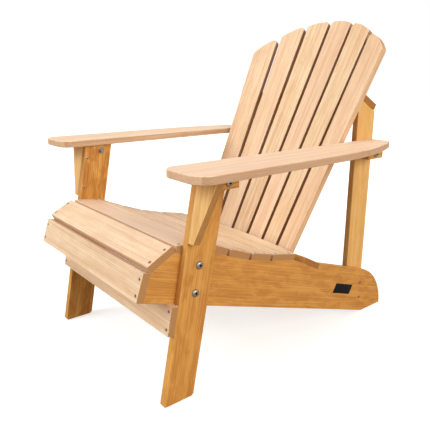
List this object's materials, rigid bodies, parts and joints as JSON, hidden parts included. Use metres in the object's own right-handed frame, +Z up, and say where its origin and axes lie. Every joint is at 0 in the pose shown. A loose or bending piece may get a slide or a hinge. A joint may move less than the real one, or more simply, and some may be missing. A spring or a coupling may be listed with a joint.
{
  "type": "armchair",
  "caption": "Low slatted wooden garden armchair with a reclined fan back, sloped contoured seat and wide flat arms.",
  "frame": {"origin": "on the floor, under the middle of the chair's bounding box", "axes": "+X is the sitter's left, +Y is the rear of the chair, +Z is up"},
  "size_m": [0.782, 0.9191, 0.8934],
  "materials": {
    "frame_wood": "clear oiled softwood, golden",
    "board_wood": "smooth sanded softwood, pale peach",
    "bright_steel": "zinc-plated, satin",
    "screw_steel": "plated screws, dull grey",
    "label_plastic": "matt black, blank"
  },
  "bodies": {
    "root": {"side_rail_left": "frame_wood", "side_rail_right": "frame_wood", "front_leg_left": "frame_wood", "front_leg_right": "frame_wood", "rear_post_left": "frame_wood", "rear_post_right": "frame_wood", "front_apron": "board_wood", "front_stretcher": "board_wood", "seat_board_1": "board_wood", "seat_board_2": "board_wood", "seat_board_3": "board_wood", "seat_board_4": "board_wood", "seat_board_5": "board_wood", "seat_board_6": "board_wood", "lower_cross_rail": "frame_wood", "upper_cross_rail": "frame_wood", "back_board_1": "board_wood", "back_board_2": "board_wood", "back_board_3": "board_wood", "back_board_4": "board_wood", "back_board_5": "board_wood", "back_board_6": "board_wood", "arm_left": "board_wood", "arm_right": "board_wood", "arm_bracket_left": "frame_wood", "arm_bracket_right": "frame_wood", "front_arm_block_left": "frame_wood", "front_arm_block_right": "frame_wood", "rear_arm_block_left": "frame_wood", "rear_arm_block_right": "frame_wood", "leg_bolts": "bright_steel", "leg_nuts": "bright_steel", "arm_bolts": "bright_steel", "arm_nuts": "bright_steel", "seat_screws": "screw_steel", "frame_screws": "screw_steel", "back_screws": "screw_steel", "blank_plate": "label_plastic"}
  },
  "joints": []
}
